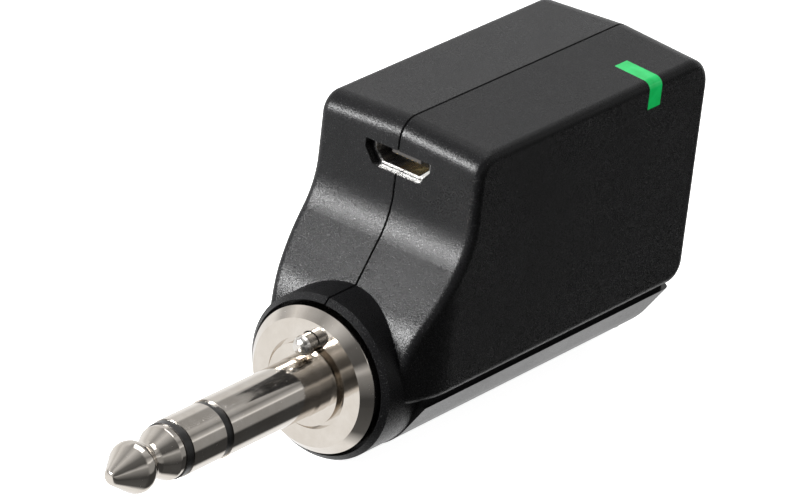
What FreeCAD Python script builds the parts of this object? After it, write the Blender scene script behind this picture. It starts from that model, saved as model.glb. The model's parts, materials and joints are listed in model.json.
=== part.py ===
"""Plug-in wireless guitar transmitter.

Frame: the origin is on the plug's axis, in the plane of the seat flange's front face.
The plug points along -Y, +X is the object's right side and +Z is up.  Millimetres.
"""
import FreeCAD, Part

import math
import os

import Sketcher

DIMENSIONS = [
    # plug contacts, as distances along the plug from the seat face
    ("sleeve_radius", 3.175, "radius of the 6.35 mm plug"),
    ("insulator_radius", 3.0, "black rings between the contacts"),
    ("sleeve_front", 15.4, "front end of the sleeve contact"),
    ("ring_back", 16.4, "back end of the ring contact"),
    ("ring_front", 21.45, "front end of the ring contact"),
    ("tip_back", 22.45, "back end of the tip contact"),
    ("plug_reach", 31.1, "nose of the plug"),
    ("nose_radius", 0.9, "round nose of the tip contact"),
    ("bulge_radius", 1.48, "round bulge of the tip contact"),
    ("waist_radius", 1.05, "hollow waist of the tip contact"),
    ("tip_collar", 2.88, "collar behind the waist"),
    ("tip_rod_radius", 0.9, "centre rod"),
    ("tip_tube_radius", 1.2, "insulating tube on the centre rod"),
    ("ring_tube_radius", 1.7, "tube of the ring contact"),
    ("sleeve_bore", 2.1, "bore of the sleeve contact"),
    # plug base and seat flange
    ("base_radius", 4.5, "raised disc at the foot of the plug"),
    ("base_proud", 0.6, "height of that disc above the seat face"),
    ("groove_depth", 0.6, "groove between the disc and the flange"),
    ("flange_bore", 4.975, "inner edge of the seat face"),
    ("flange_face", 6.99, "outer edge of the seat face"),
    ("flange_radius", 8.01, "seat flange"),
    ("flange_bevel", 1.12, "depth of the bevel"),
    ("flange_shelf", 3.2, "back of the flange's rim"),
    ("flange_neck", 7.0, "neck that the shells grip"),
    ("neck_back", 4.2, "back end of that neck"),
    ("flange_back", 7.0, "back end of the seat flange"),
    ("shank_radius", 3.0, "rear shank of the plug"),
    ("shank_back", 9.6, "back end of the rear shank"),
    # jack detector pin
    ("pin_radius", 1.1, "detector pin"),
    ("pin_height", 4.74, "pin axis above the plug axis"),
    ("pin_reach", 2.15, "dome of the pin in front of the seat face"),
    ("pin_travel", 2.0, "stroke of the pin"),
    ("pin_hole", 1.2, "hole for the pin in the flange"),
    ("pin_chamber", 1.8, "spring chamber behind that hole"),
    ("chamber_front", 1.6, "front wall of the chamber"),
    ("pin_collar", 1.65, "collar that stops the pin"),
    ("collar_back", 2.5, "back face of the pin's collar"),
    ("tail_radius", 0.7, "tail of the pin"),
    ("tail_back", 8.0, "end of the tail"),
    ("guide_front", 6.2, "front face of the pin guide"),
    ("guide_back", 7.6, "back face of the pin guide"),
    # casing
    ("half_width", 10.5, "side face from the parting plane"),
    ("half_gap", 0.07, "half of the gap between the two shells"),
    ("top_height", 26.25, "top at the parting plane"),
    ("top_fall", 0.58, "drop of the top towards the side"),
    ("shell_bottom", -0.85, "lower edge of the side shells"),
    ("rear_end", 51.75, "rear face at the parting plane"),
    ("rear_fall", 0.25, "draft of the rear face towards the side"),
    ("front_upper", 11.4, "front face above the slope"),
    ("front_lower", 4.75, "front face at the foot of the slope"),
    ("front_foot", 3.3, "front face at the shells' lower edge"),
    ("slope_top", 15.5, "upper corner of the front slope"),
    ("slope_foot", 6.4, "lower corner of the front slope"),
    ("slope_hollow", 8.5, "radius of the hollow corner of the slope"),
    ("slope_round", 10.0, "radius of the round corner of the slope"),
    ("front_top_round", 2.3, "radius of the front top edge"),
    ("rear_top_round", 3.4, "radius of the rear top edge"),
    ("rear_bottom_round", 2.4, "radius of the rear bottom corner"),
    ("side_round", 1.0, "radius round the side faces"),
    ("taper_radius", 12.2, "sweep of the sides in towards the collar"),
    ("taper_start", 10.5, "where that sweep starts"),
    ("parting_bevel", 0.06, "bevel along the parting line"),
    ("wall", 1.5, "wall thickness"),
    ("collar_radius", 9.05, "collar round the plug"),
    ("collar_front", 1.7, "inner front edge of the collar"),
    ("collar_mouth", 8.42, "mouth of the collar"),
    ("collar_bevel", 0.6, "bevel of the collar's front edge"),
    ("collar_length", 7.5, "back end of the free collar"),
    ("collar_bore", 7.7, "hollow inside the collar"),
    # bottom cover
    ("hull_radius", 9.15, "round belly of the bottom cover"),
    ("hull_half_width", 9.9, "upper edge of the bottom cover"),
    ("hull_top", -1.6, "level of that edge"),
    ("hull_flank", 33.2, "lean of the flat flanks, in degrees"),
    ("hull_back", 50.7, "rear end of the bottom cover"),
    ("hull_wall", 1.4, "wall of the bottom cover"),
    ("spigot_half_width", 9.5, "spigot between cover and shells"),
    ("spigot_back", 49.2, "rear end of the spigot"),
    ("tongue_half_width", 8.95, "tongue of the cover inside the shells"),
    # charging socket
    ("port_height", 21.475, "centre of the socket"),
    ("port_front", 12.4, "front edge of the socket's shell"),
    ("port_depth", 5.0, "length of the socket's shell"),
    ("port_top_width", 7.5, "wide side of the socket's shell"),
    ("port_low_width", 5.2, "narrow side"),
    ("port_thickness", 2.45, "height of the socket's shell"),
    ("port_sheet", 0.28, "sheet of the socket's shell"),
    ("recess_half_width", 4.2, "recess round the socket"),
    ("recess_low", 20.2, "lower edge of the recess"),
    ("recess_high", 22.85, "upper edge of the recess"),
    # status window
    ("window_front", 40.35, "front edge of the status window"),
    ("window_length", 2.2, "width of the status window"),
    ("window_inner", 5.7, "end of the window on the top"),
    ("window_low", 22.6, "end of the window on the side"),
    # boards and cell
    ("board_thickness", 1.0, "circuit boards"),
    ("main_board_top", 20.225, "upper face of the main board"),
    ("main_board_front", 13.6, "front edge of the main board"),
    ("main_board_back", 48.0, "rear edge of the main board"),
    ("board_half_width", 8.3, "half width of the boards"),
    ("radio_board_top", 9.4, "upper face of the radio board"),
    ("radio_board_front", 15.6, "front edge of the radio board"),
    ("jack_board_front", 12.0, "front face of the jack board"),
    ("jack_board_half_width", 5.4, "half width of the jack board"),
    ("jack_board_low", -5.0, "lower edge of the jack board"),
    ("jack_board_high", 9.0, "upper edge of the jack board"),
    ("cell_radius", 7.0, "battery cell"),
    ("cell_axis", -0.6, "level of the cell's axis"),
    ("cell_front", 14.4, "front end of the cell"),
    ("cell_length", 29.9, "length of the cell"),
    ("radio_board_back", 47.2, "rear edge of the radio board"),
    ("screw_side", 4.2, "cover screws from the parting plane"),
    ("screw_back", 47.5, "cover screws along the body"),
    ("screw_radius", 0.8, "cover screws"),
    ("screw_head", 1.5, "heads of the cover screws"),
    ("boss_radius", 1.9, "screw bosses"),
]

DOC = FreeCAD.newDocument("guitar_transmitter")
SHEET = DOC.addObject("Spreadsheet::Sheet", "Dims")
PARTS = []


class Dim:
    """A length that carries both its value and the expression that gives it."""

    def __init__(self, value, text):
        self.value = value
        self.text = text

    def join(self, other, sign, value):
        return Dim(value, f"({self.text} {sign} {size(other).text})")

    def __add__(self, other):
        return self.join(other, "+", self.value + size(other).value)

    def __sub__(self, other):
        return self.join(other, "-", self.value - size(other).value)

    def __mul__(self, other):
        return self.join(other, "*", self.value * size(other).value)

    def __truediv__(self, other):
        return self.join(other, "/", self.value / size(other).value)

    def __neg__(self):
        return Dim(-self.value, f"(0 - {self.text})")


class Dims:
    """The driving dimensions by name."""


def cosine(angle):
    """Cosine of a Dim in degrees."""
    return Dim(math.cos(math.radians(angle.value)), f"cos({angle.text} * 1 deg)")


def sine(angle):
    """Sine of a Dim in degrees."""
    return Dim(math.sin(math.radians(angle.value)), f"sin({angle.text} * 1 deg)")


def size(value):
    """Return value as a Dim."""
    if isinstance(value, Dim):
        return value
    return Dim(float(value), repr(float(value)))


def fill_sheet():
    """Write the driving dimensions into the spreadsheet and return them by name."""
    for row, (alias, value, note) in enumerate(DIMENSIONS, 1):
        SHEET.set(f"A{row}", note)
        SHEET.set(f"B{row}", str(value))
        SHEET.setAlias(f"B{row}", alias)
        setattr(Dims, alias, Dim(value, f"Dims.{alias}"))
    DOC.recompute()
    return Dims


def bind(thing, prop, value):
    """Bind one property of an object to the sheet."""
    thing.setExpression(prop, size(value).text)


def place(thing, x=0, y=0, z=0):
    """Bind an object's position to the sheet."""
    for axis, value in zip("xyz", (x, y, z)):
        bind(thing, f"Placement.Base.{axis}", value)


# ---------------------------------------------------------------- primitives and booleans

def box(name, corner, extent):
    """A block from its lowest corner and its three lengths."""
    block = DOC.addObject("Part::Box", name)
    for prop, value in zip(("Length", "Width", "Height"), extent):
        bind(block, prop, value)
    place(block, *corner)
    return block


def slab(name, x_span, y_span, z_span):
    """A block between three pairs of planes."""
    spans = (x_span, y_span, z_span)
    corner = [size(low) for low, high in spans]
    extent = [size(high) - low for low, high in spans]
    return box(name, corner, extent)


def rod(name, radius, start, length, axis="y"):
    """A cylinder from the centre of its first face, along +Y, +X or +Z."""
    cylinder = DOC.addObject("Part::Cylinder", name)
    turns = {"x": (FreeCAD.Vector(0, 1, 0), 90), "y": (FreeCAD.Vector(1, 0, 0), -90), "z": None}
    if turns[axis]:
        cylinder.Placement.Rotation = FreeCAD.Rotation(*turns[axis])
    bind(cylinder, "Radius", radius)
    bind(cylinder, "Height", length)
    place(cylinder, *start)
    return cylinder


def cut(name, base, *tools):
    """base without the tools."""
    result = DOC.addObject("Part::Cut", name)
    result.Base = base
    result.Tool = tools[0] if len(tools) == 1 else fuse(f"{name}_tools", *tools)
    return result


def fuse(name, *pieces):
    """The pieces joined into one solid."""
    result = DOC.addObject("Part::MultiFuse", name)
    result.Shapes = list(pieces)
    result.Refine = True
    return result


def common(name, *pieces):
    """What the pieces share."""
    result = DOC.addObject("Part::MultiCommon", name)
    result.Shapes = list(pieces)
    return result


def mirrored(name, source):
    """The source mirrored in the parting plane."""
    result = DOC.addObject("Part::Mirroring", name)
    result.Source = source
    result.Normal = FreeCAD.Vector(1, 0, 0)
    return result


def group(name, pieces):
    """Separate solids kept in one node."""
    result = DOC.addObject("Part::Compound", name)
    result.Links = list(pieces)
    return result


# ---------------------------------------------------------------- sketches and bodies

def new_body(name):
    return DOC.addObject("PartDesign::Body", name)


def plane_of(body, role):
    """One of the body's own origin planes, such as XY_Plane."""
    return next(item for item in body.Origin.OriginFeatures if item.Role == role)


def sketch_on(body, role, name, offset=0):
    """An empty sketch on one of the body's planes, moved along the plane's normal."""
    sketch = body.newObject("Sketcher::SketchObject", name)
    sketch.AttachmentSupport = (plane_of(body, role), "")
    sketch.MapMode = "FlatFace"
    bind(sketch, "AttachmentOffset.Base.z", offset)
    return sketch


def pin_point(sketch, item, point, u, v):
    """Hold one point of a sketch at (u, v), with each coordinate bound to the sheet."""
    for kind, axis, value in (("DistanceX", -2, size(u)), ("DistanceY", -1, size(v))):
        if value.value == 0:
            sketch.addConstraint(Sketcher.Constraint("PointOnObject", item, point, axis))
        else:
            index = sketch.addConstraint(
                Sketcher.Constraint(kind, -1, 1, item, point, value.value))
            sketch.setExpression(f"Constraints[{index}]", value.text)


def outline(sketch, corners):
    """A closed outline of straight lines through the corners."""
    flat = [FreeCAD.Vector(size(u).value, size(v).value, 0) for u, v in corners]
    first = sketch.GeometryCount
    count = len(corners)
    for index in range(count):
        sketch.addGeometry(Part.LineSegment(flat[index], flat[(index + 1) % count]), False)
    for index, (u, v) in enumerate(corners):
        before = first + (index - 1) % count
        sketch.addConstraint(Sketcher.Constraint("Coincident", before, 2, first + index, 1))
        pin_point(sketch, first + index, 1, u, v)


def turned(name, corners):
    """A piece turned about the plug's axis from corners of (radius, position along Y)."""
    body = new_body(name)
    sketch = sketch_on(body, "XY_Plane", f"{name}_section")
    outline(sketch, corners)
    turning = body.newObject("PartDesign::Revolution", f"{name}_turning")
    turning.Profile = sketch
    turning.ReferenceAxis = (sketch, ["V_Axis"])
    turning.Angle = 360
    DOC.recompute()
    return body


def rounded(body, name, radius, test, kind="PartDesign::Fillet"):
    """Round or bevel the edges of the body's last shape that pass the test."""
    base = body.Tip
    edges = [f"Edge{index}" for index, edge in enumerate(base.Shape.Edges, 1) if test(edge)]
    feature = body.newObject(kind, name)
    feature.Base = (base, edges)
    prop = "Size" if kind.endswith("Chamfer") else "Radius"
    bind(feature, prop, radius)
    DOC.recompute()
    return feature


def plate(name, role, corners, start, thickness):
    """A flat piece: an outline padded from one plane of the frame."""
    body = new_body(name)
    sketch = sketch_on(body, role, f"{name}_outline", start)
    outline(sketch, corners)
    pad = body.newObject("PartDesign::Pad", f"{name}_pad")
    pad.Profile = sketch
    bind(pad, "Length", thickness)
    DOC.recompute()
    return body


def pocket_both_ways(body, name, sketch):
    """Cut a sketch's outline right through the body, on both sides of its plane."""
    before = body.Shape.Volume
    pocket = body.newObject("PartDesign::Pocket", name)
    pocket.Profile = sketch
    pocket.Type = "ThroughAll"
    pocket.Midplane = True
    DOC.recompute()
    if not body.Shape.Volume < before:
        raise RuntimeError(f"{name} cuts nothing")
    return pocket


def rectangle(u_low, v_low, u_high, v_high):
    return [(u_low, v_low), (u_high, v_low), (u_high, v_high), (u_low, v_high)]


def finished(name, thing):
    """Give a sub-part its label and put it on the list."""
    thing.Label = name
    PARTS.append(thing)
    return thing


# ---------------------------------------------------------------- plug

def plug_tip(d):
    """Tip contact: nose, bulge, waist and collar, on its centre rod."""
    reach = d.plug_reach
    bulge = reach - 3.86
    waist = reach - 5.523
    collar = reach - 7.93
    body = turned("tip_contact", [
        (0, -reach),
        (0.649, -reach),
        (3.19, -bulge),
        (1.527, -waist),
        (d.tip_collar, -collar),
        (d.tip_collar, -d.tip_back),
        (d.tip_rod_radius, -d.tip_back),
        (d.tip_rod_radius, d.jack_board_front + 1.8),
        (0, d.jack_board_front + 1.8),
    ])

    def ring_at(level):
        """Test for the round edges at one distance from the seat."""
        def test(edge):
            return near(edge.CenterOfMass.y, -level.value) and near(edge.BoundBox.YLength, 0)
        return test

    rounded(body, "tip_bulge", d.bulge_radius, ring_at(bulge))
    rounded(body, "tip_waist", d.waist_radius, ring_at(waist))
    rounded(body, "tip_shoulder", 0.25, ring_at(collar))
    rounded(body, "tip_nose", d.nose_radius, ring_at(reach))
    return finished("plug_tip", body)


def contact_tube(name, front, head_back, head_radius, bore, tube_radius, back):
    """A contact or insulator: a visible ring at the front and a tube to the rear."""
    corners = [
        (bore, -front),
        (head_radius, -front),
        (head_radius, -head_back),
        (tube_radius, -head_back),
        (tube_radius, back),
        (bore, back),
    ]
    return finished(name, turned(f"{name}_body", corners))


def plug_sleeve(d):
    """Sleeve contact with the raised disc, the seating shoulder and the rear shank."""
    body = turned("sleeve_contact", [
        (d.sleeve_bore, -d.sleeve_front),
        (d.sleeve_radius, -d.sleeve_front),
        (d.sleeve_radius, size(-2.1)),
        (d.sleeve_radius + 0.06, size(-1.5)),
        (d.sleeve_radius + 0.06, -d.base_proud),
        (d.base_radius, -d.base_proud),
        (d.base_radius, d.groove_depth),
        (d.flange_bore, d.groove_depth),
        (d.flange_bore, d.flange_back),
        (d.shank_radius, d.flange_back),
        (d.shank_radius - 0.3, d.flange_back + 0.02),
        (d.shank_radius - 0.3, d.flange_back + 0.86),
        (d.shank_radius, d.flange_back + 0.9),
        (d.shank_radius, d.shank_back),
        (d.sleeve_bore, d.shank_back),
    ])
    return finished("plug_sleeve", cut("sleeve_drilled", body, *pin_bores(d, "sleeve")))


def pin_bores(d, owner):
    """The stepped bore that the detector pin runs in."""
    hole = rod(f"{owner}_pin_hole", d.pin_hole, (0, -1, d.pin_height), d.chamber_front + 1.5)
    chamber = rod(f"{owner}_pin_chamber", d.pin_chamber, (0, d.chamber_front, d.pin_height),
                  d.flange_back - d.chamber_front + 0.1)
    return hole, chamber


def seat_flange(d):
    """Nickel-plated flange that seats on the instrument's jack."""
    body = turned("flange_ring", [
        (d.flange_bore, 0),
        (d.flange_face, 0),
        (d.flange_radius, d.flange_bevel),
        (d.flange_radius, d.flange_shelf),
        (d.flange_neck, d.flange_shelf),
        (d.flange_neck, d.neck_back),
        (d.collar_bore - 0.1, d.neck_back),
        (d.collar_bore - 0.1, d.flange_back),
        (d.flange_bore, d.flange_back),
    ])
    return finished("seat_flange", cut("flange_drilled", body, *pin_bores(d, "flange")))


def retaining_ring(d):
    """Spring clip behind the flange, open at the top where the pin guide passes."""
    ring = turned("clip_ring", [
        (d.shank_radius - 0.28, d.flange_back + 0.04),
        (d.shank_radius + 2.0, d.flange_back + 0.04),
        (d.shank_radius + 2.0, d.flange_back + 0.84),
        (d.shank_radius - 0.28, d.flange_back + 0.84),
    ])
    opening = slab("clip_opening", (-2.0, 2.0), (d.flange_back - 1, d.flange_back + 2),
                   (0, d.shank_radius + 3))
    return finished("retaining_ring", cut("clip_open", ring, opening))


def solder_lug(d, name, bore, radius, start, side):
    """A ring terminal with a leg that reaches the jack board."""
    thickness = 0.4
    ring = turned(f"{name}_ring", [
        (bore, start), (radius, start), (radius, start + thickness), (bore, start + thickness)])
    near = radius - 0.4
    far = size(4.2)
    leg_back = d.jack_board_front + d.board_thickness + 0.5
    if side > 0:
        arm = slab(f"{name}_arm", (near, far), (start, start + thickness), (-0.6, 0.6))
        leg = slab(f"{name}_leg", (far - thickness, far), (start, leg_back), (-0.6, 0.6))
    else:
        arm = slab(f"{name}_arm", (-far, -near), (start, start + thickness), (-0.6, 0.6))
        leg = slab(f"{name}_leg", (-far, -far + thickness), (start, leg_back), (-0.6, 0.6))
    return finished(name, fuse(f"{name}_bent", ring, arm, leg))


# ---------------------------------------------------------------- detector pin

def detector_pin(d):
    """Domed pin that the instrument's jack pushes in."""
    body = turned("pin_turning", [
        (0, -d.pin_reach),
        (0.45, -d.pin_reach + 0.05),
        (0.8, -d.pin_reach + 0.24),
        (1.02, -d.pin_reach + 0.52),
        (d.pin_radius, -d.pin_reach + 0.85),
        (d.pin_radius, d.chamber_front + 0.03),
        (d.pin_collar, d.chamber_front + 0.03),
        (d.pin_collar, d.collar_back),
        (d.tail_radius, d.collar_back),
        (d.tail_radius, d.tail_back),
        (0, d.tail_back),
    ])
    bind(body, "Placement.Base.z", d.pin_height)
    return finished("detector_pin", body)


def pin_guide(d):
    """Plastic bush that guides the pin's tail and closes the spring chamber."""
    body = turned("guide_turning", [
        (d.tail_radius + 0.06, d.guide_front),
        (d.pin_chamber - 0.06, d.guide_front),
        (d.pin_chamber - 0.06, d.guide_back),
        (d.tail_radius + 0.06, d.guide_back),
    ])
    bind(body, "Placement.Base.z", d.pin_height)
    return finished("pin_guide", body)


def pin_spring(d):
    """Compression spring round the pin's tail, as closely stacked rings on a helix."""
    wire = 0.11
    mean = 1.25
    coils = 5.0
    start = d.collar_back.value + wire + 0.06
    end = d.guide_front.value - wire - 0.04
    pitch = (end - start) / coils
    helix = Part.makeHelix(pitch, end - start, mean)
    section = Part.Wire(Part.makeCircle(wire, FreeCAD.Vector(mean, 0, 0), FreeCAD.Vector(0, 1, 0)))
    coil = Part.Wire(helix.Edges).makePipeShell([section], True, True)
    spring = DOC.addObject("Part::Feature", "coil_spring")
    spring.Shape = coil
    spring.Placement = FreeCAD.Placement(
        FreeCAD.Vector(0, start, d.pin_height.value),
        FreeCAD.Rotation(FreeCAD.Vector(1, 0, 0), -90))
    return finished("pin_spring", spring)


def detector_switch(d):
    """Switch that the pin's tail presses at the end of its stroke."""
    body = slab("switch_case", (-2.3, 2.3), (d.jack_board_front - 1.4, d.jack_board_front),
                (d.pin_height - 1.5, d.pin_height + 1.5))
    button = rod("switch_button", 0.6, (0, d.tail_back + d.pin_travel + 0.06, d.pin_height), 1.2)
    return finished("detector_switch", fuse("switch_whole", body, button))


# ---------------------------------------------------------------- casing

def near(value, target, slack=0.02):
    return abs(value - target) < slack


def half_blank(d):
    """Outside of one half of the casing above the plug, before hollowing."""
    body = new_body("half_blank")
    side = sketch_on(body, "YZ_Plane", "side_outline", d.half_gap)
    outline(side, [
        (d.front_foot, d.shell_bottom),
        (d.rear_end, d.shell_bottom),
        (d.rear_end, d.top_height),
        (d.front_upper, d.top_height),
        (d.front_upper, d.slope_top),
        (d.front_lower, d.slope_foot),
    ])
    pad = body.newObject("PartDesign::Pad", "side_pad")
    pad.Profile = side
    bind(pad, "Length", d.half_width - d.half_gap)
    DOC.recompute()
    top = sketch_on(body, "XZ_Plane", "top_slope")
    outline(top, [
        (0, d.top_height),
        (d.half_width, d.top_height - d.top_fall),
        (d.half_width, d.top_height + 1),
        (0, d.top_height + 1),
    ])
    pocket_both_ways(body, "top_draft", top)
    rear = sketch_on(body, "XY_Plane", "rear_slope")
    outline(rear, [
        (0, d.rear_end),
        (d.half_width, d.rear_end - d.rear_fall),
        (d.half_width, d.rear_end + 1),
        (0, d.rear_end + 1),
    ])
    pocket_both_ways(body, "rear_draft", rear)

    def crosswise(y, z):
        """Test for a corner edge that runs from the parting plane to the side."""
        def test(edge):
            middle = edge.CenterOfMass
            long_enough = edge.BoundBox.XLength > 5
            return long_enough and near(middle.y, y, 0.4) and near(middle.z, z, 0.4)
        return test

    front_low, front_high = d.front_lower.value, d.front_upper.value
    top_level, rear_level = d.top_height.value - d.top_fall.value / 2, d.rear_end.value
    corners = (
        ("hollow_corner", d.slope_hollow, front_high, d.slope_top.value),
        ("round_corner", d.slope_round, front_low, d.slope_foot.value),
        ("front_top_corner", d.front_top_round, front_high, top_level),
        ("rear_top_corner", d.rear_top_round, rear_level, top_level),
        ("rear_bottom_corner", d.rear_bottom_round, rear_level, d.shell_bottom.value),
    )
    for name, radius, y, z in corners:
        rounded(body, name, radius, crosswise(y, z))
    return body


def taper_cutter(d):
    """Block whose inner face sweeps the side in towards the collar."""
    block = slab("taper_block", (d.half_width - 4, d.half_width + 2),
                 (-1, d.taper_start), (d.shell_bottom - 1, d.top_height))
    sweep = rod("taper_sweep", d.taper_radius,
                (d.half_width - d.taper_radius, d.taper_start, d.shell_bottom - 2),
                d.top_height + 4, axis="z")
    return cut("taper_cutter", block, sweep)


def half_outside(d):
    """Right half of the casing's outside: the tapered blank and half of the collar."""
    tapered = cut("half_tapered", half_blank(d), taper_cutter(d))
    body = new_body("half_rounded")
    DOC.recompute()
    base = body.newObject("PartDesign::FeatureBase", "half_base")
    base.BaseFeature = tapered
    body.Tip = base
    DOC.recompute()
    side = d.half_width.value
    taper = d.taper_start.value

    def along_side(edge):
        """Edges between the side face, with its sweep, and the faces round it."""
        box_ = edge.BoundBox
        if box_.XMin < side - 2.6:
            return False
        seam = near(box_.YLength, 0) and near(box_.XMin, side) and near(box_.YMin, taper)
        return not seam

    rounded(body, "side_rounding", d.side_round, along_side)
    return body


def collar_half(d):
    """Right half of the solid collar round the plug's base."""
    collar = turned("collar_ring", [
        (0, d.collar_front),
        (d.collar_radius - d.collar_bevel, d.collar_front),
        (d.collar_radius, d.collar_front + d.collar_bevel),
        (d.collar_radius, d.collar_length),
        (0, d.collar_length),
    ])
    right = slab("collar_side", (d.half_gap, d.collar_radius + 1),
                 (d.collar_front - 1, d.collar_length + 1),
                 (-d.collar_radius - 1, d.collar_radius + 1))
    return common("collar_half", collar, right)


def casing_half(d):
    """Right half of the casing's outside, with the parting edge bevelled."""
    whole = fuse("half_joined", half_outside(d), collar_half(d))
    body = new_body("half_envelope")
    base = body.newObject("PartDesign::FeatureBase", "envelope_base")
    base.BaseFeature = whole
    body.Tip = base
    DOC.recompute()

    def on_parting_plane(edge):
        """Outer edges that lie in the parting plane, without the collar's hidden end."""
        box_ = edge.BoundBox
        if not near(box_.XMax, d.half_gap.value, 0.005):
            return False
        hidden = box_.ZMax < d.collar_radius.value - 1.5 or box_.YMax < d.collar_front.value + 0.1
        return not hidden

    rounded(body, "parting_edge", d.parting_bevel, on_parting_plane, "PartDesign::Chamfer")
    return body


def hollow(d, side):
    """Everything cut out of a half: collar bore, cavity, socket and window openings."""
    tools = [
        rod(f"{side}_mouth", d.collar_mouth, (0, 0, 0), d.flange_shelf),
        rod(f"{side}_neck", d.flange_neck + 0.05, (0, 0, 0), d.neck_back + 0.5),
        rod(f"{side}_bore", d.collar_bore, (0, d.neck_back, 0), d.collar_length - d.neck_back + 1),
    ]
    slope = d.slope_top - 0.4
    inner_rear = d.rear_end - d.wall - 0.05
    roof = d.top_height - d.wall - 0.45
    shallow = plate(f"{side}_front_cavity", "YZ_Plane", [
        (d.front_lower + d.wall, d.shell_bottom - 0.05),
        (d.front_upper + d.wall, d.shell_bottom - 0.05),
        (d.front_upper + d.wall, slope),
        (d.front_lower + d.wall, d.slope_foot - 0.4),
    ], size(-1), d.half_width - 1.7)
    deep = slab(f"{side}_cavity", (-1, d.half_width - d.wall),
                (d.front_upper + d.wall, inner_rear), (d.shell_bottom - 1, roof))
    return tools + [shallow, deep, port_cutter(d, side), socket_cutter(d, side)]


def port_cutter(d, side):
    """Recess round the charging socket."""
    half = d.recess_half_width
    corners = [
        (-half, d.recess_high),
        (-half, d.port_height + 0.4),
        (-half + 1.1, d.recess_low + 0.12),
        (-half + 1.4, d.recess_low),
        (half - 1.4, d.recess_low),
        (half - 1.1, d.recess_low + 0.12),
        (half, d.port_height + 0.4),
        (half, d.recess_high),
    ]
    return plate(f"{side}_recess", "XZ_Plane", corners, -d.port_front, 3)


def socket_cutter(d, side):
    """Opening in the front wall that the socket's shell fills."""
    corners = socket_corners(d, 0.05)
    return plate(f"{side}_socket_hole", "XZ_Plane", corners, -d.port_front - 3, 5)


def socket_corners(d, grow):
    """Outline of the socket: wide at the top, with sloping lower corners."""
    top = d.port_height + d.port_thickness / 2 + grow
    low = d.port_height - d.port_thickness / 2 - grow
    wide = d.port_top_width / 2 + grow
    narrow = d.port_low_width / 2 + grow
    return [
        (-wide, top),
        (-wide, d.port_height + 0.15),
        (-narrow, low),
        (narrow, low),
        (wide, d.port_height + 0.15),
        (wide, top),
    ]


def window_block(d, name):
    """The corner block that the status window fills."""
    span = (d.window_front, d.window_front + d.window_length)
    above = slab(f"{name}_top", (d.window_inner, d.half_width + 1), span,
                 (d.top_height - d.wall - 0.5, d.top_height + 1))
    beside = slab(f"{name}_side", (d.half_width - d.wall, d.half_width + 1), span,
                  (d.window_low, d.top_height + 1))
    return fuse(name, above, beside)


def ledges(d, side):
    """Ribs inside a half that carry the two boards."""
    ribs = []
    inner = d.board_half_width - 0.8
    outer = d.half_width - d.wall + 0.1
    for level, top in (("main", d.main_board_top), ("radio", d.radio_board_top)):
        shelf = top - d.board_thickness
        for index, start in enumerate((19.0, 37.0)):
            ribs.append(slab(f"{side}_{level}_rib_{index}", (inner, outer),
                             (start, size(start + 4)), (shelf - 1.2, shelf)))
    return ribs


def screw_post(d, side):
    """Post that takes a cover screw."""
    reach = d.boss_radius
    post = slab(f"{side}_post", (d.screw_side - reach, d.screw_side + reach),
                (d.screw_back - 0.9, d.rear_end - d.wall + 0.1), (d.shell_bottom, 7))
    round_end = rod(f"{side}_post_end", reach, (d.screw_side, d.screw_back - 0.1, d.shell_bottom),
                    7 - d.shell_bottom.value, axis="z")
    return [post, round_end]


def shells(d):
    """The two halves of the casing."""
    envelope = casing_half(d)
    for side in ("right", "left"):
        bare = cut(f"{side}_hollowed", envelope, *hollow(d, side))
        ribbed = fuse(f"{side}_ribbed", bare, *ledges(d, side), *screw_post(d, side))
        holes = [rod(f"{side}_post_hole", d.screw_radius,
                     (d.screw_side, d.screw_back, d.shell_bottom - 1), 7, axis="z")]
        if side == "right":
            holes.append(window_block(d, "window_opening"))
        drilled = cut(f"{side}_drilled", ribbed, *holes)
        if side == "left":
            drilled = mirrored("left_mirrored", drilled)
        finished(f"{side}_shell", drilled)
    return envelope


def light_pipe(d, envelope):
    """Status window, flush with the shell, with a leg down to the lamp."""
    face = common("window_face", envelope, window_block(d, "window_block"))
    middle = d.window_front + d.window_length / 2
    leg = slab("window_leg", (d.window_inner + 0.9, d.window_inner + 2.7),
               (middle - 0.65, middle + 0.65),
               (d.main_board_top + 1.1, d.top_height - d.wall - 0.4))
    return finished("light_pipe", fuse("window_whole", face, leg))


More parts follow.
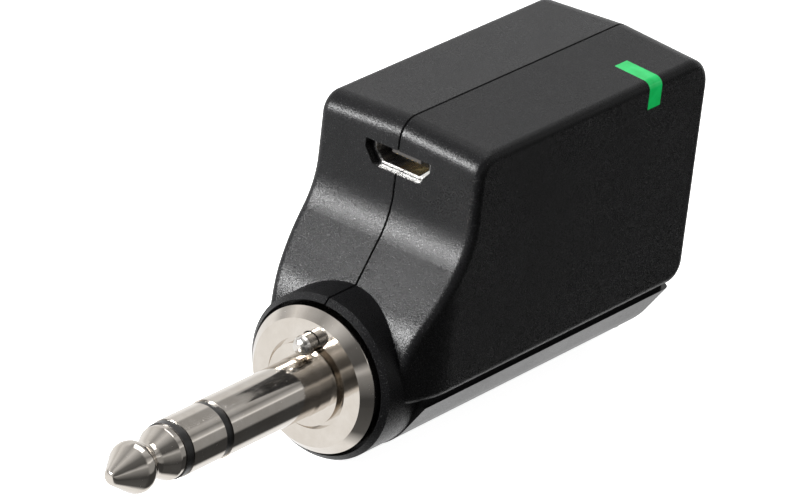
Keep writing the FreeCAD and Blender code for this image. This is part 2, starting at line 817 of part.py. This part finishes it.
def bottom_cover(d):
    """Round-bellied bottom cover with flat flanks, a spigot and a tongue."""
    length = d.hull_back - d.collar_length
    contact_x = d.hull_radius * cosine(d.hull_flank)
    contact_z = d.hull_radius * sine(d.hull_flank)
    belly = rod("hull_belly", d.hull_radius, (0, d.collar_length, 0), length)
    below = slab("hull_below", (-d.hull_radius - 1, d.hull_radius + 1),
                 (d.collar_length - 1, d.hull_back + 1), (-d.hull_radius - 1, d.hull_top))
    flanks = plate("hull_flanks", "XZ_Plane", [
        (-d.hull_half_width, d.hull_top),
        (-contact_x, -contact_z),
        (contact_x, -contact_z),
        (d.hull_half_width, d.hull_top),
    ], -d.hull_back, length)
    outside = fuse("hull_outside", common("hull_lower", belly, below), flanks)
    body = new_body("hull_rounded")
    base = body.newObject("PartDesign::FeatureBase", "hull_base")
    base.BaseFeature = outside
    body.Tip = base
    DOC.recompute()

    def rear_edge(edge):
        """The belly's and flanks' edges at the rear end."""
        box_ = edge.BoundBox
        return near(box_.YMin, d.hull_back.value) and box_.ZMin < d.hull_top.value - 1

    rounded(body, "hull_rear_rounding", 1.3, rear_edge)
    spigot = slab("hull_spigot", (-d.spigot_half_width, d.spigot_half_width),
                  (d.collar_length, d.spigot_back), (d.hull_top - 0.2, d.shell_bottom - 0.02))
    throat_back = d.hull_back - d.hull_wall - 0.6
    edge = d.tongue_half_width
    tongue = slab("hull_tongue", (-edge, edge), (d.front_upper + d.wall + 0.2, throat_back),
                  (d.shell_bottom - 0.1, 0.8))
    bore_radius = d.hull_radius - d.hull_wall
    bore = rod("hull_bore", bore_radius, (0, d.collar_length - 1, 0), length - d.hull_wall + 1)
    throat = slab("hull_throat", (-bore_radius, bore_radius),
                  (d.collar_length - 1, throat_back), (-1.9, 2))
    open_cover = cut("hull_hollowed", fuse("hull_raised", body, spigot, tongue), bore, throat)
    posts = []
    holes = []
    for name, x in (("right", d.screw_side), ("left", -d.screw_side)):
        column = rod(f"cover_column_{name}", d.boss_radius, (x, d.screw_back - 0.3, -d.hull_radius),
                     d.hull_radius + d.shell_bottom - 0.04, axis="z")
        posts.append(common(f"cover_post_{name}", column, body))
        holes.append(rod(f"cover_hole_{name}", d.screw_radius + 0.06,
                         (x, d.screw_back, -d.hull_radius - 1), 12, axis="z"))
        holes.append(rod(f"cover_sink_{name}", d.screw_head + 0.15,
                         (x, d.screw_back, -d.hull_radius - 1), 3.9, axis="z"))
    built = cut("cover_drilled", fuse("cover_posted", open_cover, *posts), *holes)
    return finished("bottom_cover", built)


def cover_screws(d):
    """Two screws that hold the bottom cover."""
    screws = []
    seat = 2.9 - d.hull_radius.value
    for name, x in (("right", d.screw_side), ("left", -d.screw_side)):
        head = rod(f"screw_head_{name}", d.screw_head, (x, d.screw_back, seat - 1.0), 1.0, axis="z")
        stem = rod(f"screw_stem_{name}", d.screw_radius - 0.02, (x, d.screw_back, seat - 0.1),
                   10.0, axis="z")
        slot = slab(f"screw_slot_{name}", (x - 0.2, x + 0.2),
                    (d.screw_back - 0.9, d.screw_back + 0.9), (seat - 1.2, seat - 0.5))
        cross = slab(f"screw_cross_{name}", (x - 0.9, x + 0.9),
                     (d.screw_back - 0.2, d.screw_back + 0.2), (seat - 1.2, seat - 0.5))
        screws.append(cut(f"screw_{name}", fuse(f"screw_blank_{name}", head, stem), slot, cross))
    return finished("cover_screws", group("cover_screw_pair", screws))


# ---------------------------------------------------------------- charging socket

def usb_shell(d):
    """Folded steel shell of the charging socket."""
    outer = plate("socket_outer", "XZ_Plane", socket_corners(d, 0),
                  -d.port_front - d.port_depth, d.port_depth)
    inner = plate("socket_inner", "XZ_Plane", socket_corners(d, -d.port_sheet),
                  -d.port_front - d.port_depth - 1, d.port_depth + 2)
    return finished("usb_shell", cut("socket_sheet", outer, inner))


def usb_insulator(d):
    """Moulded tongue and back block of the socket."""
    back = d.port_front + d.port_depth
    block = plate("socket_block", "XZ_Plane", socket_corners(d, -d.port_sheet - 0.02), -back, 1.1)
    tongue = slab("socket_tongue", (-1.85, 1.85), (d.port_front + 0.6, back - 1.0),
                  (d.port_height + 0.1, d.port_height + 0.62))
    return finished("usb_insulator", fuse("socket_moulding", block, tongue))


def usb_contacts(d):
    """Five contact strips under the tongue."""
    strips = []
    pitch = 0.65
    for index in range(5):
        middle = (index - 2) * pitch
        strips.append(slab(f"contact_{index}", (size(middle - 0.14), size(middle + 0.14)),
                           (d.port_front + 0.75, d.port_front + d.port_depth - 1.1),
                           (d.port_height, d.port_height + 0.1)))
    return finished("usb_contacts", group("contact_strips", strips))


# ---------------------------------------------------------------- electronics and cell

def main_board(d):
    """Upper board: charging, lamp and supply."""
    corners = rectangle(-d.board_half_width, d.main_board_front,
                        d.board_half_width, d.main_board_back)
    return finished("main_board", plate("main_board_blank", "XY_Plane", corners,
                                        d.main_board_top - d.board_thickness, d.board_thickness))


def radio_board(d):
    """Lower board: converter and radio."""
    corners = rectangle(-d.board_half_width, d.radio_board_front,
                        d.board_half_width, d.radio_board_back)
    blank = plate("radio_board_blank", "XY_Plane", corners,
                  d.radio_board_top - d.board_thickness, d.board_thickness)
    notches = []
    for name, x in (("right", d.screw_side), ("left", -d.screw_side)):
        notches.append(rod(f"radio_notch_{name}", d.boss_radius + 0.3,
                           (x, d.screw_back, 7), 4, axis="z"))
    return finished("radio_board", cut("radio_board_cut", blank, *notches))


def jack_board(d):
    """Small upright board behind the plug, with holes for the rod and the two legs."""
    half = d.jack_board_half_width
    back = d.jack_board_front + d.board_thickness
    blank = plate("jack_board_blank", "XZ_Plane",
                  rectangle(-half, d.jack_board_low, half, d.jack_board_high),
                  -back, d.board_thickness)
    hole = rod("rod_hole", d.tip_rod_radius + 0.05, (0, d.jack_board_front - 1, 0), 4)
    slots = []
    for name, x in (("right", 3.95), ("left", -3.95)):
        slots.append(slab(f"leg_slot_{name}", (size(x - 0.3), size(x + 0.3)),
                          (d.jack_board_front - 1, back + 1), (-0.7, 0.7)))
    return finished("jack_board", cut("jack_board_cut", blank, hole, *slots))


def upper_parts(d):
    """Components on the main board."""
    top = d.main_board_top
    low = top - d.board_thickness
    middle = d.window_front + d.window_length / 2
    lamp = slab("lamp", (d.window_inner + 1.2, d.window_inner + 2.4),
                (middle - 0.45, middle + 0.45), (top, top + 0.8))
    finished("status_led", lamp)
    finished("charger_chip", slab("charger", (-2.0, 2.0), (20.0, 24.0), (top, top + 0.9)))
    finished("power_inductor", slab("inductor", (-5.8, -2.8), (27.0, 30.0), (top, top + 1.8)))
    cans = []
    for index, x in enumerate((-4.5, 0.0, 4.5)):
        cans.append(rod(f"can_{index}", 1.9, (size(x), 33.0, low - 5.0), 5.0, axis="z"))
    finished("supply_capacitors", group("capacitor_cans", cans))
    finished("board_connector", slab("connector", (-6.0, 6.0), (25.0, 27.4),
                                     (d.radio_board_top, low)))


def lower_parts(d):
    """Components on the radio board."""
    top = d.radio_board_top
    outer = slab("shield_outer", (-6.5, 6.5), (29.0, 40.0), (top, top + 2.4))
    inner = slab("shield_inner", (-6.3, 6.3), (29.2, 39.8), (top - 1, top + 2.2))
    finished("shield_can", cut("shield_sheet", outer, inner))
    finished("radio_chip", slab("radio", (-2.5, 2.5), (31.0, 36.0), (top, top + 0.9)))
    finished("clock_crystal", slab("crystal", (3.4, 5.6), (35.0, 38.2), (top, top + 0.8)))
    finished("audio_converter", slab("converter", (-2.5, 2.5), (18.0, 23.0), (top, top + 1.0)))
    finished("chip_antenna", slab("antenna", (-4.0, 4.0), (43.0, 45.0), (top, top + 1.1)))


def battery(d):
    """Round lithium cell with its protection board, leads and foam pad."""
    back = d.cell_front + d.cell_length
    cell = rod("cell_can", d.cell_radius, (0, d.cell_front, d.cell_axis), d.cell_length)
    finished("battery_cell", cell)
    board = rod("protection_disc", d.cell_radius - 0.7, (0, back + 0.02, d.cell_axis), 0.8)
    finished("protection_board", board)
    leads = []
    radius = 0.38
    reach = back + 1.5
    underside = d.radio_board_top - d.board_thickness
    for name, x in (("positive", 1.2), ("negative", -1.2)):
        tail = rod(f"lead_tail_{name}", radius, (x, back + 0.84, 3.0), 0.66)
        elbow = DOC.addObject("Part::Sphere", f"lead_elbow_{name}")
        bind(elbow, "Radius", radius)
        place(elbow, x, reach, 3.0)
        rise = rod(f"lead_rise_{name}", radius, (x, reach, 3.0), underside - 3.02, axis="z")
        leads.append(fuse(f"lead_{name}", tail, elbow, rise))
    finished("battery_leads", group("lead_pair", leads))
    finished("cell_pad", slab("foam", (-3.0, 3.0), (19.0, 42.0),
                              (d.cell_axis + d.cell_radius + 0.02, underside - 0.02)))


def flex_cable(d):
    """Flat cable from the jack board to the radio board."""
    back = d.jack_board_front + d.board_thickness
    under = d.radio_board_top - d.board_thickness
    upright = slab("flex_upright", (-3.0, 3.0), (back + 0.01, back + 0.16), (3.0, under - 0.02))
    level = slab("flex_level", (-3.0, 3.0), (back + 0.01, d.radio_board_front + 2.4),
                 (under - 0.17, under - 0.02))
    return finished("flex_cable", fuse("flex_bent", upright, level))


# ---------------------------------------------------------------- the whole transmitter

def build(d):
    """Make every sub-part."""
    plug_tip(d)
    contact_tube("tip_insulator", d.tip_back, d.ring_front, d.insulator_radius,
                 d.tip_rod_radius, d.tip_tube_radius, d.jack_board_front - 0.4)
    contact_tube("plug_ring", d.ring_front, d.ring_back, d.sleeve_radius - 0.08,
                 d.tip_tube_radius, d.ring_tube_radius, d.jack_board_front - 0.8)
    contact_tube("ring_insulator", d.ring_back, d.sleeve_front, d.insulator_radius,
                 d.ring_tube_radius, d.sleeve_bore, d.jack_board_front - 2.0)
    plug_sleeve(d)
    seat_flange(d)
    retaining_ring(d)
    solder_lug(d, "sleeve_lug", d.shank_radius, d.shank_radius + 1.0, d.flange_back + 1.3, 1)
    solder_lug(d, "ring_lug", d.ring_tube_radius, d.ring_tube_radius + 0.9,
               d.jack_board_front - 1.6, -1)
    detector_pin(d)
    pin_guide(d)
    pin_spring(d)
    detector_switch(d)
    envelope = shells(d)
    light_pipe(d, envelope)
    bottom_cover(d)
    cover_screws(d)
    usb_shell(d)
    usb_insulator(d)
    usb_contacts(d)
    main_board(d)
    radio_board(d)
    jack_board(d)
    upper_parts(d)
    lower_parts(d)
    battery(d)
    flex_cable(d)


def check_and_write():
    """Stop on any failed object, then write each sub-part to parts/."""
    DOC.recompute()
    for item in DOC.Objects:
        if "Invalid" in item.State or "Error" in item.State:
            raise RuntimeError(f"{item.Name} failed: {item.State}")
    os.makedirs("parts", exist_ok=True)
    for part in PARTS:
        shape = part.Shape
        if shape.isNull() or not shape.isValid():
            raise RuntimeError(f"{part.Label} has no valid shape")
        solids = len(shape.Solids)
        shape.exportStep(f"parts/{part.Label}.step")
        print(f"{part.Label:20s} solids {solids}  volume {shape.Volume:9.2f} mm3")


build(fill_sheet())
check_and_write()
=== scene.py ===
"""Looks of the wireless guitar transmitter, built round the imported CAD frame.

Metres, in the CAD frame: +Y runs from the plug's seat to the back of the box, +X is
the side with the status window, and +Z is up.
"""

import json
import math

import bpy
from mathutils import Matrix, Vector


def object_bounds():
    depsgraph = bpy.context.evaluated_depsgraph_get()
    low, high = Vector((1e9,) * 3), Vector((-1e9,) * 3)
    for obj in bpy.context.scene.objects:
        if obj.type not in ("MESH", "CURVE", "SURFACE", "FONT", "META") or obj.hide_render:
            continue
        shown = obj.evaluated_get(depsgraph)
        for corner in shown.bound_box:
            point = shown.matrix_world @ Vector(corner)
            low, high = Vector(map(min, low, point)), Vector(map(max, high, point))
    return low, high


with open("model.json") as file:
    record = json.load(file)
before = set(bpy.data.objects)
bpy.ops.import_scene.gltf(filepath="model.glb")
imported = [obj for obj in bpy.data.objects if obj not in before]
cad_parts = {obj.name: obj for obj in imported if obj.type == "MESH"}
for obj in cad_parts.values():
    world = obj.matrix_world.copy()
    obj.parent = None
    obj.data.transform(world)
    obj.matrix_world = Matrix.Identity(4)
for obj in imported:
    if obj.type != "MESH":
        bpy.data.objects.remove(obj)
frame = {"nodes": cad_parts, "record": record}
cad_bounds = [list(corner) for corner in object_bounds()]

MM = 0.001
nodes = frame["nodes"]


# ---------------------------------------------------------------- node helpers

class Graph:
    """Short calls for building a node tree."""

    def __init__(self, tree):
        self.tree = tree
        tree.nodes.clear()

    def add(self, kind, inputs=None, **settings):
        node = self.tree.nodes.new(kind)
        for key, value in settings.items():
            setattr(node, key, value)
        for key, value in (inputs or {}).items():
            self.feed(node, key, value)
        return node

    def feed(self, node, key, value):
        """Link a socket into an input, or set the input's own value."""
        socket = node.inputs[key]
        if isinstance(value, bpy.types.NodeSocket):
            self.tree.links.new(value, socket)
        else:
            socket.default_value = value

    def math(self, operation, a, b=0.0):
        return self.add("ShaderNodeMath", {0: a, 1: b}, operation=operation).outputs[0]

    def span(self, value, low, high, to_low=0.0, to_high=1.0, smooth=False):
        """Map a value from one range to another, held inside it."""
        node = self.add("ShaderNodeMapRange", {
            "Value": value, "From Min": low, "From Max": high,
            "To Min": to_low, "To Max": to_high,
        })
        node.interpolation_type = "SMOOTHSTEP" if smooth else "LINEAR"
        return node.outputs["Result"]

    def noise(self, where, size, detail=3.0, rough=0.5):
        """Noise whose features are about this many millimetres across."""
        node = self.add("ShaderNodeTexNoise", {
            "Vector": where, "Scale": 1 / (size * MM), "Detail": detail, "Roughness": rough,
        })
        return node.outputs["Fac"]

    def mix(self, factor, first, second):
        """Mix of two colours, each a tuple of three numbers or a socket."""
        node = self.add("ShaderNodeMix", data_type="RGBA")
        self.feed(node, 0, factor)
        for index, colour in ((6, first), (7, second)):
            is_socket = isinstance(colour, bpy.types.NodeSocket)
            self.feed(node, index, colour if is_socket else (*colour, 1.0))
        return node.outputs[2]

    def place(self):
        return self.add("ShaderNodeTexCoord").outputs["Object"]

    def bump(self, height, depth):
        """Relief of a height between 0 and 1, its depth in millimetres."""
        inputs = {"Height": height, "Strength": 1.0, "Distance": depth * MM}
        return self.add("ShaderNodeBump", inputs).outputs["Normal"]


def new_material(name):
    material = bpy.data.materials.new(name)
    material.use_nodes = True
    return material, Graph(material.node_tree)


def close(graph, **inputs):
    """End a material with one Principled shader."""
    shader = graph.add("ShaderNodeBsdfPrincipled", inputs)
    graph.add("ShaderNodeOutputMaterial", {"Surface": shader.outputs[0]})
    return shader


# ---------------------------------------------------------------- materials

# Sizes and heights of the surface features in millimetres.
MOTTLE_SIZE = 6.0
WEAR_SIZE = 17.0
LATHE_RING = 0.12
HAZE_SIZE = 2.6
SPECK_SIZE = 0.28
STREAK_SIZE = 0.25
TARNISH_SIZE = 1.5
CLOUD_SIZE = 1.3
WINDOW_GRAIN = 0.2
WINDOW_RELIEF = 0.004
PAPER_MOTTLE = 60.0

# Size of the pits in moulded plastic, as a share of its grain.
PIT_SHARE = 0.45
# Roughness that a speck adds to plated metal.
SPECK_ROUGHNESS = 0.25
# Strengths of the two surfaces that shine.
WINDOW_GLOW = 0.8
PAPER_GLOW = 0.92


def moulded(name, dark, pale, rough, grain, depth, sparkle=0.0, level=0.5):
    """Moulded plastic with a spark-eroded grain, faint mottling and uneven gloss.

    grain is the size of its grain and depth its height, both in millimetres.
    """
    material, g = new_material(name)
    where = g.place()
    fine = g.noise(where, grain, 4.0, 0.65)
    broad = g.noise(where, MOTTLE_SIZE, 2.0, 0.5)
    handled = g.noise(where, WEAR_SIZE, 3.0, 0.6)
    colour = g.mix(g.span(broad, 0.3, 0.7), dark, pale)
    gloss = g.math("ADD", g.span(fine, 0.3, 0.7, rough - 0.05, rough + 0.07),
                   g.span(handled, 0.35, 0.65, -0.025, 0.025))
    pits = g.span(g.noise(where, grain * PIT_SHARE, 2.0, 0.6), 0.58, 0.72)
    height = g.math("ADD", fine, g.math("MULTIPLY", pits, sparkle))
    close(g, **{
        "Base Color": colour, "Roughness": gloss, "Specular IOR Level": level,
        "Normal": g.bump(height, depth),
    })
    return material


def turned_metal(name, dark, pale, rough, depth=0.0006):
    """Plated metal turned about the plug's axis: fine rings, faint haze and a few pits."""
    material, g = new_material(name)
    where = g.place()
    parts = g.add("ShaderNodeSeparateXYZ", {0: where})
    x, y, z = parts.outputs
    radius = g.math("SQRT", g.math("ADD", g.math("MULTIPLY", x, x), g.math("MULTIPLY", z, z)))
    lathe = g.add("ShaderNodeCombineXYZ", {0: radius, 1: y}).outputs[0]
    rings = g.noise(lathe, LATHE_RING, 3.0, 0.7)
    haze = g.noise(where, HAZE_SIZE, 4.0, 0.6)
    specks = g.span(g.noise(where, SPECK_SIZE, 2.0, 0.5), 0.66, 0.78)
    colour = g.mix(g.span(haze, 0.3, 0.7), dark, pale)
    gloss = g.math("ADD", g.span(haze, 0.35, 0.75, rough, rough + 0.06),
                   g.math("MULTIPLY", specks, SPECK_ROUGHNESS))
    height = g.math("SUBTRACT", rings, specks)
    close(g, **{
        "Base Color": colour, "Metallic": 1.0, "Roughness": gloss,
        "Normal": g.bump(height, depth),
    })
    return material


def plain_metal(name, dark, pale, rough, streak=(1, 1, 1), depth=0.002):
    """Sheet or wire metal with drawn streaks along one axis."""
    material, g = new_material(name)
    where = g.add("ShaderNodeMapping", {"Vector": g.place(), "Scale": streak}).outputs[0]
    lines = g.noise(where, STREAK_SIZE, 4.0, 0.6)
    haze = g.noise(g.place(), TARNISH_SIZE, 3.0, 0.5)
    close(g, **{
        "Base Color": g.mix(g.span(haze, 0.3, 0.7), dark, pale), "Metallic": 1.0,
        "Roughness": g.span(lines, 0.3, 0.7, rough - 0.06, rough + 0.08),
        "Normal": g.bump(lines, depth),
    })
    return material


def window(name):
    """Clear green plastic, lit from behind by the status lamp."""
    material, g = new_material(name)
    where = g.place()
    cloud = g.noise(where, CLOUD_SIZE, 3.0, 0.5)
    fine = g.noise(where, WINDOW_GRAIN, 3.0, 0.6)
    colour = g.mix(g.span(cloud, 0.3, 0.7), (0.0, 0.26, 0.06), (0.01, 0.36, 0.10))
    shader = close(g, **{
        "Base Color": colour, "Roughness": g.span(fine, 0.3, 0.7, 0.16, 0.26),
        "Emission Color": g.mix(g.span(cloud, 0.25, 0.75), (0.0, 0.30, 0.055),
                                (0.002, 0.36, 0.075)),
        "Normal": g.bump(fine, WINDOW_RELIEF),
    })
    shader.inputs["Emission Strength"].default_value = WINDOW_GLOW
    return material


BLACK = (0.0038, 0.0038, 0.0042)
SOOT = (0.0060, 0.0060, 0.0065)
NICKEL = (0.62, 0.57, 0.51)
NICKEL_PALE = (0.70, 0.655, 0.60)

shell_black = moulded("grained_black", BLACK, SOOT, 0.28, 0.16, 0.028, sparkle=0.8, level=0.22)
cover_black = moulded("cover_black", BLACK, SOOT, 0.30, 0.24, 0.008, sparkle=0.2, level=0.3)
insulator_black = moulded("insulator_black", (0.012, 0.012, 0.012), (0.02, 0.019, 0.018),
                          0.32, 0.2, 0.002)
socket_black = moulded("socket_black", (0.030, 0.027, 0.025), (0.045, 0.041, 0.038), 0.45, 0.15, 0.003)
chip_black = moulded("chip_black", (0.014, 0.014, 0.015), (0.03, 0.03, 0.03), 0.5, 0.12, 0.003)
board_green = moulded("board_green", (0.01, 0.09, 0.03), (0.015, 0.13, 0.045), 0.3, 0.4, 0.002)
guide_white = moulded("guide_white", (0.72, 0.72, 0.69), (0.82, 0.82, 0.8), 0.4, 0.3, 0.002)
ceramic_white = moulded("ceramic_white", (0.74, 0.73, 0.70), (0.86, 0.85, 0.82), 0.55, 0.1, 0.002)
lamp_white = moulded("lamp_white", (0.8, 0.8, 0.7), (0.9, 0.9, 0.85), 0.2, 0.3, 0.001)
cell_wrap = moulded("cell_wrap", (0.05, 0.12, 0.25), (0.07, 0.16, 0.32), 0.3, 0.6, 0.004)
foam_grey = moulded("foam_grey", (0.06, 0.06, 0.06), (0.14, 0.14, 0.14), 0.9, 0.35, 0.08)
lead_red = moulded("lead_red", (0.42, 0.03, 0.02), (0.5, 0.05, 0.04), 0.4, 0.2, 0.002)
flex_amber = moulded("flex_amber", (0.42, 0.19, 0.03), (0.55, 0.27, 0.05), 0.3, 0.3, 0.001)
nickel = turned_metal("nickel_plate", NICKEL, NICKEL_PALE, 0.06)
pin_nickel = turned_metal("pin_plate", (0.66, 0.63, 0.59), (0.75, 0.72, 0.68), 0.14, depth=0.001)
spring_steel = plain_metal("spring_steel", (0.5, 0.5, 0.5), (0.62, 0.61, 0.6), 0.3)
socket_steel = plain_metal("socket_steel", (0.66, 0.65, 0.63), (0.76, 0.75, 0.73), 0.2,
                           streak=(1, 0.15, 1), depth=0.0005)
can_silver = plain_metal("can_silver", (0.55, 0.55, 0.56), (0.66, 0.66, 0.66), 0.35)
brass = plain_metal("terminal_brass", (0.62, 0.46, 0.2), (0.72, 0.56, 0.27), 0.3)
gold = plain_metal("contact_gold", (0.8, 0.56, 0.2), (0.9, 0.66, 0.28), 0.2)
green_window = window("window_green")

FINISHES = {
    "shell_black": shell_black, "cover_black": cover_black, "nickel": nickel,
    "insulator_black": insulator_black, "pin_steel": pin_nickel,
    "spring_steel": spring_steel, "guide_white": guide_white, "terminal_brass": brass,
    "contact_gold": gold, "window_green": green_window, "lamp_white": lamp_white,
    "socket_steel": socket_steel, "socket_black": socket_black, "board_green": board_green,
    "chip_black": chip_black, "ceramic_white": ceramic_white, "can_silver": can_silver,
    "cell_wrap": cell_wrap, "foam_grey": foam_grey, "lead_red": lead_red,
    "flex_amber": flex_amber,
}

for part in frame["record"]["subparts"]:
    for slot in nodes[part["node"]].material_slots:
        slot.material = FINISHES[part["material_slot"]]


# ---------------------------------------------------------------- floor and light

FLOOR_HALF = 3.0
OBJECT_MIDDLE = Vector((0, 0.012, 0.01))


def studio_floor():
    """Wide pale floor just under the belly."""
    lowest = cad_bounds[0][2]
    mesh = bpy.data.meshes.new("floor")
    corners = [
        (-FLOOR_HALF, -FLOOR_HALF, lowest), (FLOOR_HALF, -FLOOR_HALF, lowest),
        (FLOOR_HALF, FLOOR_HALF, lowest), (-FLOOR_HALF, FLOOR_HALF, lowest),
    ]
    mesh.from_pydata(corners, [], [(0, 1, 2, 3)])
    floor = bpy.data.objects.new("floor", mesh)
    bpy.context.scene.collection.objects.link(floor)
    material, g = new_material("floor_paper")
    tone = g.noise(g.place(), PAPER_MOTTLE, 2.0, 0.5)
    shader = close(g, **{
        "Base Color": g.mix(tone, (0.90, 0.90, 0.90), (0.93, 0.93, 0.93)),
        "Roughness": 0.9, "Specular IOR Level": 0.1,
        "Emission Color": (1.0, 1.0, 1.0, 1.0),
    })
    shader.inputs["Emission Strength"].default_value = PAPER_GLOW
    mesh.materials.append(material)
    floor.visible_glossy = False
    floor.visible_diffuse = False


def panel(name, toward, distance, size, power):
    """Soft rectangular light at a distance in a direction from the object's middle."""
    light = bpy.data.lights.new(name, "AREA")
    light.shape = "RECTANGLE"
    light.size, light.size_y = size
    light.energy = power
    lamp = bpy.data.objects.new(name, light)
    direction = Vector(toward).normalized()
    lamp.location = OBJECT_MIDDLE + direction * distance
    lamp.rotation_euler = direction.to_track_quat("Z", "Y").to_euler()
    bpy.context.scene.collection.objects.link(lamp)


# Radiance of the studio behind the object, by angle about the plug's axis in degrees
# from +X towards +Z.
REAR_RING = (
    (-180, 1.10), (-150, 1.00), (-125, 1.10), (-82, 1.10), (-68, 0.06), (-16, 0.05),
    (-8, 0.34), (24, 0.36), (29, 1.10), (34, 0.60), (49, 0.24), (58, 0.45), (70, 0.60),
    (80, 0.40), (122, 0.40), (132, 0.85), (160, 0.80), (172, 1.00), (180, 1.10),
)
# The same for the studio in front of the object.
FRONT_RING = (
    (-180, 0.90), (-150, 1.10), (-86, 1.10), (-66, 0.12), (-20, 0.06), (12, 0.30),
    (20, 0.60), (32, 0.10), (60, 0.15), (95, 0.75), (116, 0.40), (135, 0.60), (152, 1.00),
    (170, 0.40), (180, 0.90),
)


def surroundings():
    """Studio of pale walls and dark flags for the object, plain white for the camera."""
    world = bpy.data.worlds.new("studio")
    bpy.context.scene.world = world
    world.use_nodes = True
    g = Graph(world.node_tree)
    way = g.add("ShaderNodeTexCoord").outputs["Generated"]
    x, y, z = g.add("ShaderNodeSeparateXYZ", {0: way}).outputs
    turn = g.span(g.math("ARCTAN2", z, x), -math.pi, math.pi)

    def ring(stops):
        """Grey level by angle about the plug's axis."""
        node = g.add("ShaderNodeValToRGB", {"Fac": turn})
        ramp = node.color_ramp
        while len(ramp.elements) < len(stops):
            ramp.elements.new(1.0)
        for element, (angle, level) in zip(ramp.elements, stops):
            element.position = (angle + 180) / 360
            element.color = (level, level, level, 1.0)
        return node.outputs["Color"]

    behind = g.span(y, -0.15, 0.25, smooth=True)
    tone = g.mix(behind, ring(FRONT_RING), ring(REAR_RING))
    ambient = g.add("ShaderNodeBackground", {"Color": tone})
    plain = g.add("ShaderNodeBackground", {"Color": (1.0, 1.0, 1.0, 1.0), "Strength": 1.0})
    seen = g.add("ShaderNodeLightPath").outputs["Is Camera Ray"]
    mixed = g.add("ShaderNodeMixShader", {0: seen, 1: ambient.outputs[0], 2: plain.outputs[0]})
    g.add("ShaderNodeOutputWorld", {"Surface": mixed.outputs[0]})


studio_floor()
surroundings()
panel("overhead", toward=(-0.1, 0.35, 1.0), distance=0.7, size=(0.5, 0.5), power=1.6)
panel("left_strip", toward=(-0.41, -0.80, 0.32), distance=0.6, size=(0.26, 0.10), power=9.0)


# ---------------------------------------------------------------- camera

# Azimuth, elevation and roll in degrees.
CAMERA_TURNS = (35.23, 26.10, 6.76)
CAMERA_SIGHT = Vector((0.00214, 0.01166, 0.01251))
CAMERA_DISTANCE = 0.670
CAMERA_LENS = 290.2


def studio_camera():
    """Long lens from the front right, a little above, rolled slightly."""
    azimuth, elevation, roll = (math.radians(angle) for angle in CAMERA_TURNS)
    away = Vector((math.sin(azimuth) * math.cos(elevation),
                   -math.cos(azimuth) * math.cos(elevation), math.sin(elevation)))
    level = Vector((math.cos(azimuth), math.sin(azimuth), 0))
    upright = away.cross(level)
    right = level * math.cos(roll) + upright * math.sin(roll)
    above = upright * math.cos(roll) - level * math.sin(roll)
    data = bpy.data.cameras.new("camera")
    data.lens = CAMERA_LENS
    data.clip_start = 0.05
    data.clip_end = 20
    camera = bpy.data.objects.new("camera", data)
    turn = Matrix((right, above, away)).transposed().to_4x4()
    camera.matrix_world = Matrix.Translation(CAMERA_SIGHT + away * CAMERA_DISTANCE) @ turn
    bpy.context.scene.collection.objects.link(camera)
    bpy.context.scene.camera = camera


studio_camera()
bpy.context.scene.view_settings.view_transform = "Standard"
